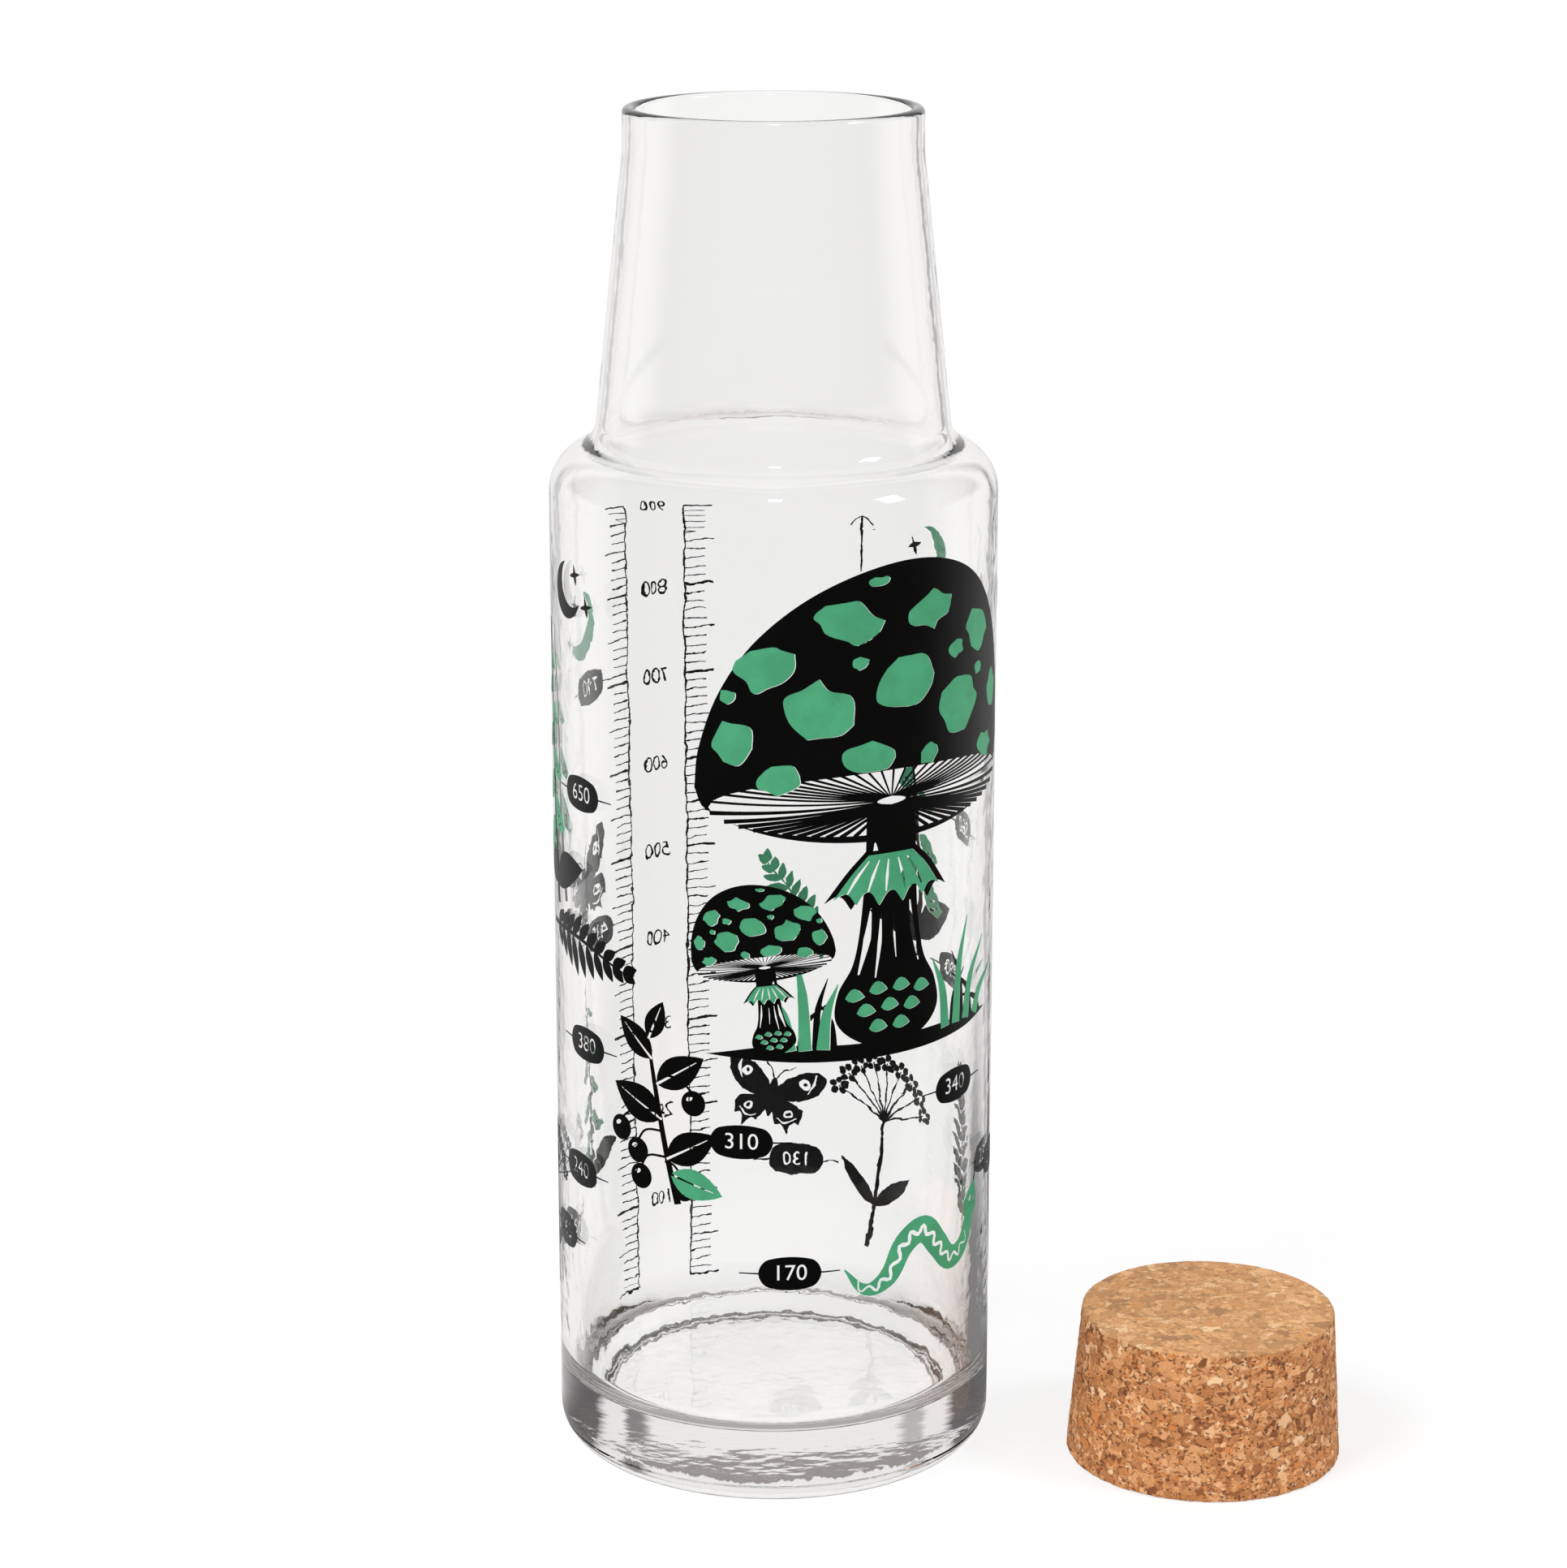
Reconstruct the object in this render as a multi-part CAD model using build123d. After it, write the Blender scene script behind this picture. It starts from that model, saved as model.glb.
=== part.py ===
from build123d import *
import os
from math import cos, degrees, pi, radians, sin, tan

# A one-litre measuring carafe of clear glass beside the cork stopper that shuts it, in millimetres.
# The origin is the centre of the ring that the bottle stands on, +Z is up, and the stopper stands at +X.
# Its printed measuring scale is on the back of the wall, where it is read through the empty bottle.
right_angle = 90.0

# Bottle, outside. The taper leans in from upright, and the slope falls outwards from level, in degrees.
bottle_height = 271.7
body_radius = 44.0
heel_bend = 7.0
shoulder_height = 203.6  # where the wall and the sloping shoulder would meet without a bend
shoulder_slope = 24.0
shoulder_bend = 9.9
neck_foot_bend = 5.6
neck_taper = 6.0
neck_bend = 30.0
mouth_radius = 29.1
mouth_land = 8.0  # the straight band below the rim
rim_bend = 1.2

# Bottle, glass: the wall thins on its way up, and the foot is solid below the floor.
wall_at_shoulder = 2.1
wall_at_heel = 3.8
neck_wall = 2.6
floor_height = 14.5
floor_bend = 5.6
ring_width = 1.0
ring_bend = 1.5
recess_depth = 2.5
recess_side = 3.0
recess_bend = 2.5

# How much of the shoulder's slope the upper bend may take, and how much of the rim each edge may take.
shoulder_share = 0.66
rim_share = 0.46

# Measuring scale: two printed ladders back to back, with room for numbers between their rails.
centimetre = 10.0  # the side of a cube that holds one millilitre
step_volume = 10.0 * centimetre**3
step_count = 90
steps_to_long = 5
steps_to_bold = 10
scale_bearing = 35.7  # degrees from the back towards -X
scale_raise = 2.1  # how far the lines were printed above the levels that they stand for
rail_gap = 15.4
rail_width = 0.4
tick_width = 0.25
bold_width = 0.5
short_tick = 5.0
long_tick = 6.8
print_thickness = 0.05

# Stopper: a frustum that the mouth stops part of the way up. The bearing is in degrees from +X.
stopper_height = 30.7
stopper_entry = 0.9  # how much slimmer than the mouth its small end is, on each side
stopper_grip = 1.4  # how much wider than the mouth its large end is, on each side
stopper_edge = 0.6
stopper_gap = 16.8
stopper_bearing = -8.5

mouth_bore = mouth_radius - neck_wall
slope_rise = tan(radians(shoulder_slope))
taper_run = tan(radians(neck_taper))
floor_radius = body_radius - wall_at_heel
bore_radius = body_radius - wall_at_shoulder


def shoulder_face(radius, depth):
    """Height of the sloping shoulder at a radius, so far under its outer face."""
    return shoulder_height + (body_radius - radius) * slope_rise - depth / cos(radians(shoulder_slope))


def neck_foot(neck_depth, shoulder_depth):
    """Where the neck's cone meets the shoulder's slope, both faces taken so far into the glass."""
    cone_at_table = (
        mouth_radius
        + (bottle_height - mouth_land) * taper_run
        - neck_depth / cos(radians(neck_taper))
    )
    height = shoulder_face(cone_at_table, shoulder_depth) / (1 - taper_run * slope_rise)
    return cone_at_table - height * taper_run, height


def neck_top(radius, depth):
    """Height where the neck's cone, taken so far into the glass, has the mouth's radius."""
    widening = mouth_radius - radius - depth / cos(radians(neck_taper))
    return bottle_height - mouth_land + widening / taper_run


def shoulder_bends(upper, lower, slope_length):
    """Radii of the bends above the wall and below the neck, as large as the slope between them allows."""
    upper_turn = radians(right_angle - shoulder_slope) / 2
    lower_turn = radians(right_angle - shoulder_slope - neck_taper) / 2
    upper_room = slope_length * shoulder_share
    lower_room = slope_length - upper_room
    return min(upper, upper_room / tan(upper_turn)), min(lower, lower_room / tan(lower_turn))


def glass_bottle():
    """The bottle turned from one half section: foot, wall, shoulder, neck and rim, then back down the bore."""
    ring_inner = body_radius - heel_bend - ring_width
    foot_radius, foot_height = neck_foot(0, 0)
    inner_foot_radius, inner_foot_height = neck_foot(neck_wall, wall_at_shoulder)
    slope_length = (body_radius - foot_radius) / cos(radians(shoulder_slope))
    inner_slope_length = (bore_radius - inner_foot_radius) / cos(radians(shoulder_slope))
    outer_bend, outer_foot_bend = shoulder_bends(shoulder_bend, neck_foot_bend, slope_length)
    inner_bend, inner_foot_bend = shoulder_bends(
        shoulder_bend - wall_at_shoulder, neck_foot_bend + neck_wall, inner_slope_length
    )
    rim_edge = min(rim_bend, neck_wall * rim_share)
    corners = [
        (ring_inner - recess_side, recess_depth, recess_bend),
        (ring_inner, 0, ring_bend),
        (body_radius, 0, heel_bend),
        (body_radius, shoulder_height, outer_bend),
        (foot_radius, foot_height, outer_foot_bend),
        (mouth_radius, neck_top(mouth_radius, 0), neck_bend),
        (mouth_radius, bottle_height, rim_edge),
        (mouth_bore, bottle_height, rim_edge),
        (mouth_bore, neck_top(mouth_bore, neck_wall), neck_bend + neck_wall),
        (inner_foot_radius, inner_foot_height, inner_foot_bend),
        (bore_radius, shoulder_face(bore_radius, wall_at_shoulder), inner_bend),
        (floor_radius, floor_height, floor_bend),
    ]
    points = [(radius, height) for radius, height, _ in corners]
    outline = FilletPolyline(
        (0, recess_depth), *points, (0, floor_height), radius=[bend for _, _, bend in corners]
    )
    section = make_face(outline + Line((0, floor_height), (0, recess_depth)))
    return revolve(Plane.XZ * section, Axis.Z)


def level(volume):
    """Height of a volume's line: what it reaches in the widening bore, the floor's bend and the raise allowed for."""
    corner_share = 1 - pi / 4
    corner_centre_share = (10 - 3 * pi) / (12 - 3 * pi)
    corner_area = corner_share * floor_bend**2
    corner_volume = corner_area * 2 * pi * (floor_radius - corner_centre_share * floor_bend)
    shoulder_at_wall = shoulder_face(bore_radius, wall_at_shoulder)
    widening_share = (bore_radius - floor_radius) / (shoulder_at_wall - floor_height)
    depth = 0
    for _ in range(20):
        surface_radius = floor_radius + widening_share * depth
        mean_area = pi * (floor_radius**2 + floor_radius * surface_radius + surface_radius**2) / 3
        depth = (volume + corner_volume) / mean_area
    return floor_height + depth + scale_raise


def ladder_drawing(side):
    """One rail of the scale with its ticks on the given side, 1 or -1, drawn flat with heights above the table."""
    lowest = level(0)
    highest = level(step_count * step_volume)
    rail = Rectangle(rail_width, highest - lowest + bold_width)
    strokes = [Pos(0, (lowest + highest) / 2) * rail]
    for step in range(step_count + 1):
        reach = short_tick if step % steps_to_long else long_tick
        width = tick_width if step % steps_to_bold else bold_width
        strokes.append(Pos(side * reach / 2, level(step * step_volume)) * Rectangle(reach, width))
    return Sketch() + strokes


def scale_ladder(side):
    """A ladder of the scale as a film of enamel on the wall, its rail half the gap from the scale's middle."""
    onto_table = (Align.CENTER, Align.CENTER, Align.MIN)
    film = Cylinder(body_radius + print_thickness, shoulder_height, align=onto_table)
    film -= Cylinder(body_radius, shoulder_height, align=onto_table)
    ink = extrude(Plane.XZ * ladder_drawing(side), amount=body_radius + long_tick, dir=(0, 1, 0))
    rail_bearing = scale_bearing - side * degrees(rail_gap / 2 / body_radius)
    return Rot(0, 0, rail_bearing) * (ink & film)


def cork_stopper():
    """The cork frustum, stood on its large end beside the bottle, with both its edges broken."""
    large_radius = mouth_bore + stopper_grip
    small_radius = mouth_bore - stopper_entry
    distance = body_radius + stopper_gap + large_radius
    bearing = radians(stopper_bearing)
    cork = Cone(large_radius, small_radius, stopper_height)
    cork = chamfer(cork.edges().filter_by(GeomType.CIRCLE), stopper_edge)
    return Pos(distance * cos(bearing), distance * sin(bearing), stopper_height / 2) * cork


os.makedirs("parts", exist_ok=True)
export_step(glass_bottle(), "parts/glass_bottle.step")
export_step(scale_ladder(1), "parts/scale_ladder_left.step")
export_step(scale_ladder(-1), "parts/scale_ladder_right.step")
export_step(cork_stopper(), "parts/cork_stopper.step")
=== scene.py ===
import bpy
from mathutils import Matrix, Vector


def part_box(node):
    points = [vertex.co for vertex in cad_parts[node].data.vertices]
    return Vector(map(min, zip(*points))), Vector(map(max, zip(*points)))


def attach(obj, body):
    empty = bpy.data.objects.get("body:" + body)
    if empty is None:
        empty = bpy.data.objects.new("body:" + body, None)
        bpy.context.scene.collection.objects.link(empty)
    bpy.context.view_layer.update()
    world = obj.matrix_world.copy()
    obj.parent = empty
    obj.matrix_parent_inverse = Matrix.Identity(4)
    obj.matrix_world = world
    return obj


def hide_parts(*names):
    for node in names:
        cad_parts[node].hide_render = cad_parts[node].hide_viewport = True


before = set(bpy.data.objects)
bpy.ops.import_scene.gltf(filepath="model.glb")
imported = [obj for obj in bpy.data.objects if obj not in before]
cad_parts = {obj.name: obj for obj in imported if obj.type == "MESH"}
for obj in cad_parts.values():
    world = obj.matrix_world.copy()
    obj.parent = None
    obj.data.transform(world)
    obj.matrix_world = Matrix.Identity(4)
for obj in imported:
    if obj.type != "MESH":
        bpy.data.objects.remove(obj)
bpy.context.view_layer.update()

import bpy
import mathutils
import numpy as np

# The bottle is one piece of clear soda glass, blown in a mould that gives it a heavy foot with a shallow
# recess below it. The wall thins upwards, and the cut edge of the mouth is melted round in a flame.
MM = 0.001
bottle_height = 271.7 * MM
body_radius = 44.0 * MM
bore_radius = 41.9 * MM
floor_radius = 40.2 * MM
floor_height = 14.5 * MM
floor_bend = 5.6 * MM
mouth_radius = 29.1 * MM
neck_wall = 2.6 * MM
shoulder_height = 203.6 * MM
shoulder_fall = np.tan(np.radians(24.0))
neck_run = np.tan(np.radians(6.0))
land_height = 263.7 * MM


def shoulder_at(radius, depth):
    """Height of the sloping shoulder at a radius, its face moved so far into the glass."""
    return shoulder_height + (body_radius - radius) * shoulder_fall - depth * np.hypot(1, shoulder_fall)


def neck_foot(neck_depth, shoulder_depth):
    """Where the neck's cone meets the shoulder's slope: the cone's radius at the table less its run to there."""
    cone_at_table = mouth_radius + land_height * neck_run - neck_depth * np.hypot(1, neck_run)
    height = shoulder_at(cone_at_table, shoulder_depth) / (1 - neck_run * shoulder_fall)
    return cone_at_table - height * neck_run, height


def rounded(corners, turn_step=np.radians(5.0), row=3.5 * MM):
    """A line of (radius, height, bend) corners with each corner rounded, as rows of place and unit normal. An
    arc of the bend's radius touches both runs at bend * tan(turn / 2) from the corner, its centre is on their
    bisector, and its points turn by equal steps. The straight runs get a point about every row."""
    places = np.array([corner[:2] for corner in corners])
    rows, last = [], places[0]
    for before, corner, after, bend in zip(places, places[1:], places[2:], [c[2] for c in corners[1:]]):
        back = (before - corner) / np.linalg.norm(before - corner)
        ahead = (after - corner) / np.linalg.norm(after - corner)
        turn = np.pi - np.arccos(np.clip(back @ ahead, -1, 1))
        side = np.sign(back[0] * ahead[1] - back[1] * ahead[0])
        outward = np.array([-back[1], back[0]])
        start = corner + back * bend * np.tan(turn / 2)
        rows.append(straight(last, start, outward, row))
        angles = -side * np.linspace(0, turn, max(2, int(np.ceil(turn / turn_step)) + 1))
        cos, sin = np.cos(angles)[:, None], np.sin(angles)[:, None]
        normals = outward * cos + np.array([-outward[1], outward[0]]) * sin
        centre = start + side * bend * outward
        rows.append(np.hstack([centre - side * bend * normals, normals]))
        last = rows[-1][-1, :2]
    run = (places[-1] - last) / np.linalg.norm(places[-1] - last)
    rows.append(straight(last, places[-1], np.array([run[1], -run[0]]), row))
    return np.concatenate(rows)


def straight(start, end, normal, row):
    """Places strictly between two ends, evenly spaced and about a row apart, with the run's normal."""
    count = int(np.linalg.norm(end - start) / row)
    shares = np.linspace(0, 1, count + 2)[1:-1, None]
    return np.hstack([start + (end - start) * shares, np.tile(normal, (count, 1))])


def turned(name, profile, ends, columns, middle=(0, 0)):
    """A closed solid of revolution. A row of the profile at radius r and height z becomes a ring of points
    (r cos a, r sin a, z) with the normals (n cos a, n sin a, m), and fans to two poles on the axis close it."""
    angles = np.linspace(0, 2 * np.pi, columns, endpoint=False)
    around = np.stack([np.cos(angles), np.sin(angles)], axis=1)
    grid = np.concatenate([profile[:, None, :1] * around, np.repeat(profile[:, None, 1:2], columns, 1)], axis=2)
    slopes = np.concatenate([profile[:, None, 2:3] * around, np.repeat(profile[:, None, 3:], columns, 1)], axis=2)
    points = np.concatenate([grid.reshape(-1, 3), [(0, 0, ends[0]), (0, 0, ends[1])]]) + np.array([*middle, 0])
    normals = np.concatenate([slopes.reshape(-1, 3), [(0, 0, profile[0, 3]), (0, 0, profile[-1, 3])]])
    index = np.arange(len(profile) * columns).reshape(-1, columns)
    beside = np.roll(index, -1, axis=1)
    quads = np.stack([index[:-1], beside[:-1], beside[1:], index[1:]], axis=-1).reshape(-1, 4)
    poles = np.full((2, columns), [[index.size], [index.size + 1]])
    fans = np.concatenate([
        np.stack([poles[0], beside[0], index[0]], 1), np.stack([poles[1], index[-1], beside[-1]], 1),
    ])
    piece = surface(name, points, [quads, fans])
    piece.data.normals_split_custom_set_from_vertices(normals.astype(np.float32))
    return piece


def surface(name, points, faces):
    """A smooth mesh object from an array of points and a list of arrays of faces, one array for each count of
    corners."""
    mesh = bpy.data.meshes.new(name)
    corners = np.concatenate([group.ravel() for group in faces])
    sizes = np.concatenate([np.full(len(group), group.shape[1]) for group in faces])
    mesh.vertices.add(len(points))
    mesh.vertices.foreach_set("co", np.asarray(points, np.float32).ravel())
    mesh.loops.add(len(corners))
    mesh.loops.foreach_set("vertex_index", corners.astype(np.int32))
    mesh.polygons.add(len(sizes))
    mesh.polygons.foreach_set("loop_start", np.concatenate([[0], np.cumsum(sizes)[:-1]]).astype(np.int32))
    mesh.update(calc_edges=True)
    mesh.shade_smooth()
    piece = bpy.data.objects.new(name, mesh)
    bpy.context.scene.collection.objects.link(piece)
    return piece


class Socket:
    """An output of a shader node. Arithmetic on it adds Math nodes to its tree, and node() adds any other kind."""

    def __init__(self, socket):
        self.socket = socket

    def node(self, kind, sockets=None, stops=None, **settings):
        """Adds a node: its settings and ramp stops come first, then the value or link of each socket."""
        tree = self.socket.id_data
        made = tree.nodes.new("ShaderNode" + kind)
        for name, value in settings.items():
            setattr(made, name, value)
        if stops:
            while len(made.color_ramp.elements) < len(stops):
                made.color_ramp.elements.new(0.5)
            for element, (place, shade) in zip(made.color_ramp.elements, stops):
                element.position, element.color = place, (*shade, 1)
        for name, value in (sockets or {}).items():
            if isinstance(value, Socket):
                tree.links.new(value.socket, made.inputs[name])
            else:
                made.inputs[name].default_value = value
        return [Socket(output) for output in made.outputs]

    def maths(self, operation, first, second=0.0):
        """Adds a Math node of an operation on one or two numbers or sockets."""
        return self.node("Math", {0: first, 1: second}, operation=operation)[0]

    def __add__(self, other):
        return self.maths("ADD", self, other)

    __radd__ = __add__

    def __sub__(self, other):
        return self.maths("SUBTRACT", self, other)

    def __rsub__(self, other):
        return self.maths("SUBTRACT", other, self)

    def __mul__(self, other):
        return self.maths("MULTIPLY", self, other)

    __rmul__ = __mul__

    def __gt__(self, other):
        return self.maths("GREATER_THAN", self, other)

    def __lt__(self, other):
        return self.maths("LESS_THAN", self, other)

    def blend(self, under, over):
        """A colour that goes from under to over as this socket goes from 0 to 1. A Mix node takes its colours at
        sockets 6 and 7, and gives the mixed one at output 2."""
        return self.node("Mix", {0: self, 6: under, 7: over}, data_type="RGBA")[2]


def material(name):
    """A new material, and the Object coordinates that its pattern starts from."""
    made = bpy.data.materials.new(name)
    made.use_nodes = True
    made.node_tree.nodes.clear()
    coordinates = made.node_tree.nodes.new("ShaderNodeTexCoord")
    return made, Socket(coordinates.outputs["Object"])


def clear_glass():
    """Clear glass whose faces are a little wavy, as blown glass is, so that what is behind it wavers. The waves
    are noises some 14, 4 and 2 mm long, as high as the wavy attribute says. Shadow rays go through with the small
    loss that the faces cost the light."""
    made, place = material("clear_glass")
    shadow_ray = place.node("LightPath")[1]
    wavy = place.node("Attribute", attribute_name="wavy")[2]
    wide = place.node("TexNoise", {"Vector": place, "Scale": 70.0, "Detail": 1.0})[0]
    fine = place.node("TexNoise", {"Vector": place, "Scale": 260.0, "Detail": 1.0})[0]
    ripple = place.node("TexNoise", {"Vector": place, "Scale": 480.0})[0]
    height = (wide * 2.4 + fine * 0.9 + ripple * 0.24) * (wavy * 0.9 + 0.1)
    normal = place.node("Bump", {"Height": height, "Strength": 1.0, "Distance": 0.00003})[0]
    glass = place.node("BsdfPrincipled", {
        "Base Color": (1.0, 0.997, 0.995, 1), "Roughness": 0.0, "IOR": 1.5, "Transmission Weight": 1.0,
        "Normal": normal,
    })[0]
    passing = place.node("BsdfTransparent", {"Color": (0.93, 0.93, 0.93, 1)})[0]
    mixed = place.node("MixShader", {0: shadow_ray, 1: glass, 2: passing})[0]
    place.node("OutputMaterial", {"Surface": mixed})
    return made


mouth_bore = mouth_radius - neck_wall
foot_radius, foot_height = neck_foot(0, 0)
inner_foot_radius, inner_foot_height = neck_foot(neck_wall, body_radius - bore_radius)
inner_land_height = land_height + (mouth_radius - mouth_bore - neck_wall * np.hypot(1, neck_run)) / neck_run
ring_inner = 36.0 * MM
ring_slope = 3.0 * MM
recess_depth = 2.5 * MM
recess_bend, ring_bend, heel_bend = 2.5 * MM, 1.5 * MM, 7.0 * MM
shoulder_bend, inner_shoulder_bend = 9.9 * MM, 7.8 * MM
neck_foot_bend, inner_neck_foot_bend = 5.6 * MM, 6.0 * MM
land_bend, inner_land_bend = 30.0 * MM, 32.6 * MM
rim_bend = 1.2 * MM
half_section = rounded([
    (0, recess_depth, 0),
    (ring_inner - ring_slope, recess_depth, recess_bend),
    (ring_inner, 0, ring_bend),
    (body_radius, 0, heel_bend),
    (body_radius, shoulder_height, shoulder_bend),
    (foot_radius, foot_height, neck_foot_bend),
    (mouth_radius, land_height, land_bend),
    (mouth_radius, bottle_height, rim_bend),
    (mouth_bore, bottle_height, rim_bend),
    (mouth_bore, inner_land_height, inner_land_bend),
    (inner_foot_radius, inner_foot_height, inner_neck_foot_bend),
    (bore_radius, shoulder_at(bore_radius, body_radius - bore_radius), inner_shoulder_bend),
    (floor_radius, floor_height, floor_bend),
    (0, floor_height, 0),
])
bottle_columns = 256
bottle = turned("bottle", half_section, (recess_depth, floor_height), bottle_columns)

# The mould keeps the outside even. The inner wall wavers, most of all near the foot where it cooled last, and so
# does the underside, while the floor lies almost flat.
wall_waves, foot_waves, underside_waves, floor_waves = 1.0, 3.0, 4.5, 0.3
heights = half_section[:, 1]
inside = np.arange(len(heights)) > np.argmax(heights)
underneath = ~inside & (heights < 5 * MM)
near_foot = np.clip((50 * MM - heights) / (25 * MM), 0, 1)
waves = inside * (wall_waves + (foot_waves - wall_waves) * near_foot) + underside_waves * underneath
waves[inside & (heights < floor_height + floor_bend)] = floor_waves
waves = np.append(np.repeat(waves, bottle_columns), (underside_waves, floor_waves))
wavy = bottle.data.attributes.new("wavy", "FLOAT", "POINT")
wavy.data.foreach_set("value", waves.astype(np.float32))
bottle.data.materials.append(clear_glass())
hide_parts("glass_bottle")
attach(bottle, "bottle")

# The measuring scale is black enamel, screen printed on the outside of the wall and fired onto the glass, with
# a number every 100 millilitres between its two ladders. It is read through the bottle from the far side. All
# print is drawn flat, in mm of way round the wall and of height.
centimetre = 10.0 * MM
millilitre = centimetre**3
scale_bearing = 180.0 + 35.7
number_size = 4.5
scale_raise = 2.1


def level(volume):
    """Height in mm of the line for a volume in millilitres. The liquid is a frustum on the floor that widens with
    the bore, less the round of its base corner by Pappus's rule, so the volume over the mean area gives its
    depth, again and again. The lines are printed a little above it."""
    corner_area = (1 - np.pi / 4) * floor_bend**2
    corner_centre = floor_radius - (10 - 3 * np.pi) / (12 - 3 * np.pi) * floor_bend
    widening = (bore_radius - floor_radius) / (shoulder_at(bore_radius, body_radius - bore_radius) - floor_height)
    depth = 0.0
    for _ in range(20):
        top = floor_radius + widening * depth
        mean_area = np.pi * (floor_radius**2 + floor_radius * top + top**2) / 3
        depth = (volume * millilitre + corner_area * 2 * np.pi * corner_centre) / mean_area
    return (floor_height + depth) / MM + scale_raise


def around(bearing):
    """Way round the wall, in mm from its front towards +X, at a bearing in degrees."""
    return np.radians(bearing) * body_radius / MM


def figures(text, size, middle):
    """The outlines of a line of figures in the plain built-in face about a middle. The face's own mesh holds
    each outline as one run of vertices, and the edge that closes it gives the run's ends."""
    words = bpy.data.curves.new("figures", "FONT")
    words.body, words.size, words.fill_mode = text, size, "NONE"
    words.align_x, words.align_y = "CENTER", "CENTER"
    holder = bpy.data.objects.new("figures", words)
    mesh = bpy.data.meshes.new_from_object(holder)
    places = np.empty(len(mesh.vertices) * 3)
    mesh.vertices.foreach_get("co", places)
    ends = np.empty(len(mesh.edges) * 2, int)
    mesh.edges.foreach_get("vertices", ends)
    closing = np.sort(ends.reshape(-1, 2), axis=1)
    closing = closing[closing[:, 1] - closing[:, 0] > 1]
    bpy.data.objects.remove(holder)
    bpy.data.meshes.remove(mesh)
    bpy.data.curves.remove(words)
    places = places.reshape(-1, 3)[:, :2] + middle
    return [places[low:high + 1] for low, high in closing]


def turning(outline):
    """Twice the area that an outline encloses, by the sum of x dy - y dx. It is negative where it runs clockwise."""
    ahead = np.roll(outline, -1, axis=0)
    return np.sum(outline[:, 0] * ahead[:, 1] - ahead[:, 0] * outline[:, 1])


def printed(name, coats, enamel, above=0.0, film=0.045, rooted=0.01, strip=1.5):
    """A film of enamel on the wall. The coats are (outlines, inked), laid one over another, and an outline inside
    another of its coat is a hole. A constrained Delaunay triangulation with an upright cut at every strip divides
    them, the last coat over a triangle says whether it is inked, and (r sin(s / r), -r cos(s / r), z) rolls the
    film round the bottle, its top and its underside apart. The underside is rooted a hair deep in the glass."""
    outlines = [outline[::1 if turning(outline) > 0 else -1] for group, _ in coats for outline in group]
    coat_of = np.repeat(np.arange(len(coats)), [len(group) for group, _ in coats])
    flat = np.concatenate(outlines)
    counts = [len(outline) for outline in outlines]
    starts = np.cumsum([0] + counts)
    low, high = flat.min(axis=0) - 1, flat.max(axis=0) + 1
    cuts = np.arange(low[0] + strip, high[0], strip)
    lines = np.stack([np.repeat(cuts, 2), np.tile([low[1], high[1]], len(cuts))], axis=1)
    corners = [mathutils.Vector(corner) for corner in np.concatenate([flat, lines]).tolist()]
    cut_ends = (np.arange(len(lines)) + len(flat)).reshape(-1, 2).tolist()
    faces = [list(range(start, start + count)) for start, count in zip(starts, counts)]
    only_in_faces, nearest = 1, 1e-5
    places, _, triangles, _, _, sources = mathutils.geometry.delaunay_2d_cdt(
        corners, cut_ends, faces, only_in_faces, nearest)
    triangles = np.array(triangles)
    cover = np.zeros((len(triangles), len(coats)), int)
    owner = np.repeat(np.arange(len(triangles)), [len(source) for source in sources])
    np.add.at(cover, (owner, coat_of[np.array([face for source in sources for face in source])]), 1)
    odd = cover % 2 == 1
    last = len(coats) - 1 - np.argmax(odd[:, ::-1], axis=1)
    inked = np.array([inked for _, inked in coats])[last] & odd.any(axis=1)
    used, tops = np.unique(triangles[inked], return_inverse=True)
    tops = tops.reshape(-1, 3)
    places = np.array([tuple(place) for place in places])[used] * MM
    count = len(places)
    edges = np.concatenate([tops[:, [0, 1]], tops[:, [1, 2]], tops[:, [2, 0]]])
    rim = edges[~np.isin(edges[:, 1] * count + edges[:, 0], edges[:, 0] * count + edges[:, 1])]
    walls = np.stack([rim[:, 1], rim[:, 0], rim[:, 0] + count, rim[:, 1] + count], axis=1)
    way = np.tile(places[:, 0], 2) / body_radius
    out = body_radius + np.repeat([film + above, above / 2 - rooted], count) * MM
    points = np.stack([out * np.sin(way), -out * np.cos(way), np.tile(places[:, 1], 2)], axis=1)
    piece = surface(name, points, [np.concatenate([tops, tops[:, ::-1] + count]), walls])
    piece.data.set_sharp_from_angle(angle=np.radians(30))
    piece.data.materials.append(enamels[enamel])
    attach(piece, "bottle")


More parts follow.
